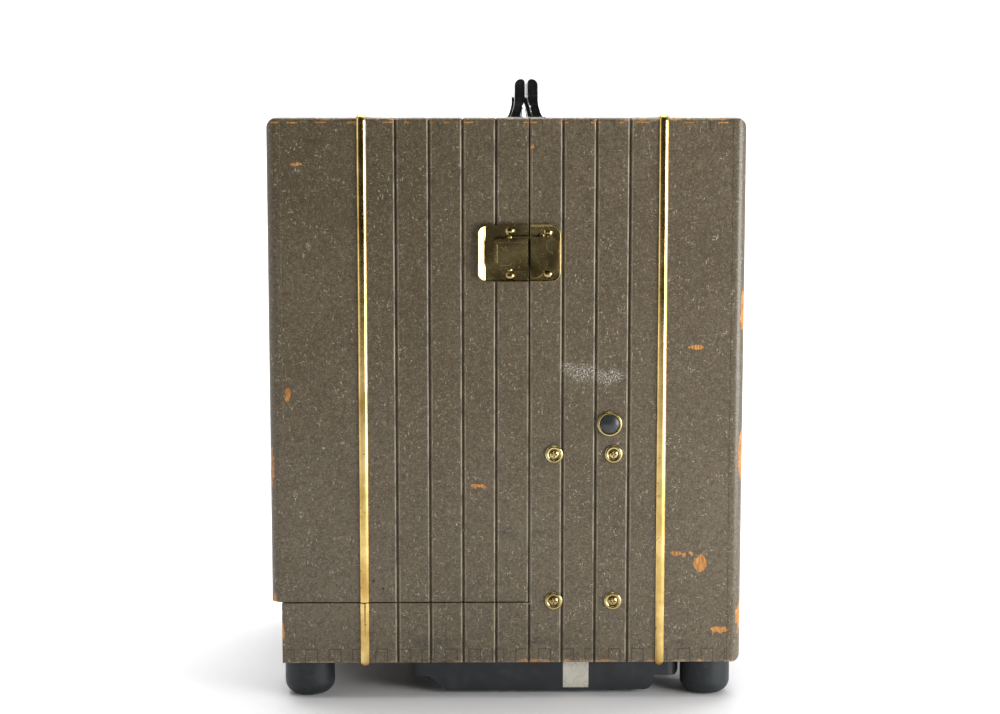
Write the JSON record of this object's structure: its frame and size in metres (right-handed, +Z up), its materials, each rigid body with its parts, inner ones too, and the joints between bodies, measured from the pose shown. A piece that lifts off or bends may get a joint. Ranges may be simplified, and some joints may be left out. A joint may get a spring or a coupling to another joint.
{
  "type": "slide projector",
  "caption": "Slide projector built into a latched wooden carrying case with a lift-off cover, folding handle halves, rubber feet, lamp house, lens and slide changer.",
  "frame": {"origin": "middle of the case's footprint, on the surface its feet stand on", "axes": "+Z up, the face with the push button looks along -Y, the projector throws its picture along -X, +X is the end with the vent and the power inlet"},
  "size_m": [0.318, 0.2556, 0.4194],
  "materials": {
    "painted_wood": "multi-colour flecked lacquer over plywood, worn to orange wood at the edges",
    "brass_trim": "tarnished half-round strip",
    "latch_brass": "pressed and tarnished",
    "washer_brass": "polished",
    "handle_plastic": "glossy black",
    "chromed_steel": "bright",
    "foot_rubber": "matt, dusty",
    "screw_steel": "plain",
    "pan_metal": "satin black enamel",
    "label_paper": "blank, aged",
    "black_plastic": "moulded",
    "brown_plastic": "phenolic",
    "pin_brass": "turned",
    "black_metal": "black wrinkle enamel",
    "deck_metal": "grey hammer enamel",
    "bracket_steel": "zinc plated",
    "clear_glass": "polished",
    "socket_ceramic": "unglazed",
    "reflector_metal": "bright",
    "carrier_metal": "satin",
    "slide_card": "plain mounts with dark film",
    "barrel_metal": "satin black"
  },
  "bodies": {
    "case": {"latch_keepers": "latch_brass", "latch_rivets": "latch_brass", "case_front_panel": "painted_wood", "case_back_panel": "painted_wood", "case_end_board": "painted_wood", "case_top_board": "painted_wood", "case_bottom_board": "painted_wood", "tray_end_board": "painted_wood", "case_trim_strip": "brass_trim", "tray_trim_strips": "brass_trim", "case_handle_brackets": "handle_plastic", "register_lip": "painted_wood", "rubber_feet": "foot_rubber", "underside_screws": "screw_steel", "base_pan": "pan_metal", "pan_label": "label_paper", "cup_washers": "washer_brass", "panel_screws": "washer_brass", "button_bezel": "washer_brass", "button_spring": "screw_steel", "button_switch": "brown_plastic", "vent_grille": "black_metal", "power_inlet": "black_plastic", "inlet_pins": "pin_brass", "deck_plate": "deck_metal", "side_brackets": "bracket_steel", "lamp_house": "black_metal", "lamp_bulb": "clear_glass", "lamp_filament": "screw_steel", "lamp_base": "pin_brass", "lamp_socket": "socket_ceramic", "reflector": "reflector_metal", "condenser_housing": "black_metal", "condenser_lenses": "clear_glass", "slide_gate": "black_metal", "lens_mount": "black_metal", "fan_motor": "bracket_steel", "switch_body": "brown_plastic"},
    "cover": {"cover_front_panel": "painted_wood", "cover_back_panel": "painted_wood", "cover_end_board": "painted_wood", "cover_top_board": "painted_wood", "cover_trim_strip": "brass_trim", "latch_base_plates": "latch_brass", "cover_handle_brackets": "handle_plastic"},
    "front_lever": {"front_latch_lever": "latch_brass"},
    "front_hook": {"front_latch_hook": "latch_brass"},
    "back_lever": {"back_latch_lever": "latch_brass"},
    "back_hook": {"back_latch_hook": "latch_brass"},
    "cover_handle": {"cover_handle_grip": "handle_plastic"},
    "case_handle": {"case_handle_grip": "handle_plastic"},
    "start_button": {"push_button": "black_plastic"},
    "house_lid": {"lamp_house_lid": "black_metal"},
    "changer": {"slide_carrier": "carrier_metal", "slide_mounts": "slide_card"},
    "lens": {"lens_barrel": "barrel_metal", "lens_glass": "clear_glass"},
    "focus_shaft": {"focus_knob": "black_plastic"},
    "fan": {"fan_rotor": "carrier_metal"},
    "toggle": {"switch_lever": "bracket_steel"}
  },
  "joints": [
    {"name": "cover_lift", "type": "slide", "parent": "case", "child": "cover", "axis": [0, 0, 1], "range_m": [0, 0.36]},
    {"name": "front_latch", "type": "hinge", "parent": "cover", "child": "front_lever", "pos_m": [0.0121, -0.1226, 0.3035], "axis": [0, 0, 1], "range_deg": [0, 85]},
    {"name": "front_claw", "type": "hinge", "parent": "front_lever", "child": "front_hook", "pos_m": [0.002, -0.1247, 0.3035], "axis": [0, 0, 1], "range_deg": [-86, 0]},
    {"name": "back_latch", "type": "hinge", "parent": "cover", "child": "back_lever", "pos_m": [0.0121, 0.1226, 0.3035], "axis": [0, 0, -1], "range_deg": [0, 85]},
    {"name": "back_claw", "type": "hinge", "parent": "back_lever", "child": "back_hook", "pos_m": [0.002, 0.1247, 0.3035], "axis": [0, 0, -1], "range_deg": [-86, 0]},
    {"name": "cover_handle_fold", "type": "hinge", "parent": "cover", "child": "cover_handle", "pos_m": [0.0079, 0, 0.3976], "axis": [0, -1, 0], "range_deg": [0, 95]},
    {"name": "case_handle_fold", "type": "hinge", "parent": "case", "child": "case_handle", "pos_m": [0.0207, 0, 0.3976], "axis": [0, 1, 0], "range_deg": [0, 95]},
    {"name": "button_press", "type": "slide", "parent": "case", "child": "start_button", "axis": [0, 1, 0], "range_m": [0, 0.0025], "stiffness_N_per_m": 400, "deforming": ["button_spring"]},
    {"name": "lid_hinge", "type": "hinge", "parent": "case", "child": "house_lid", "pos_m": [0.1406, 0, 0.2489], "axis": [0, 1, 0], "range_deg": [0, 50]},
    {"name": "slide_change", "type": "slide", "parent": "case", "child": "changer", "axis": [0, 1, 0], "range_m": [-0.054, 0]},
    {"name": "focus_travel", "type": "slide", "parent": "case", "child": "lens", "axis": [-1, 0, 0], "range_m": [0, 0.018]},
    {"name": "focus_turn", "type": "hinge", "parent": "case", "child": "focus_shaft", "pos_m": [-0.054, 0, 0.2005], "axis": [0, 1, 0], "range_deg": [0, 150]},
    {"name": "fan_spin", "type": "hinge", "parent": "case", "child": "fan", "pos_m": [0.062, 0, 0.043], "axis": [0, 0, 1], "continuous": true},
    {"name": "toggle_throw", "type": "hinge", "parent": "case", "child": "toggle", "pos_m": [-0.112, -0.074, 0.0655], "axis": [0, 1, 0], "range_deg": [0, 28]}
  ],
  "couplings": [
    {"joint": "front_claw", "follows": "front_latch", "ratio": -1},
    {"joint": "back_claw", "follows": "back_latch", "ratio": -1},
    {"joint": "focus_turn", "follows": "focus_travel", "rad_per_m": 142.86}
  ]
}
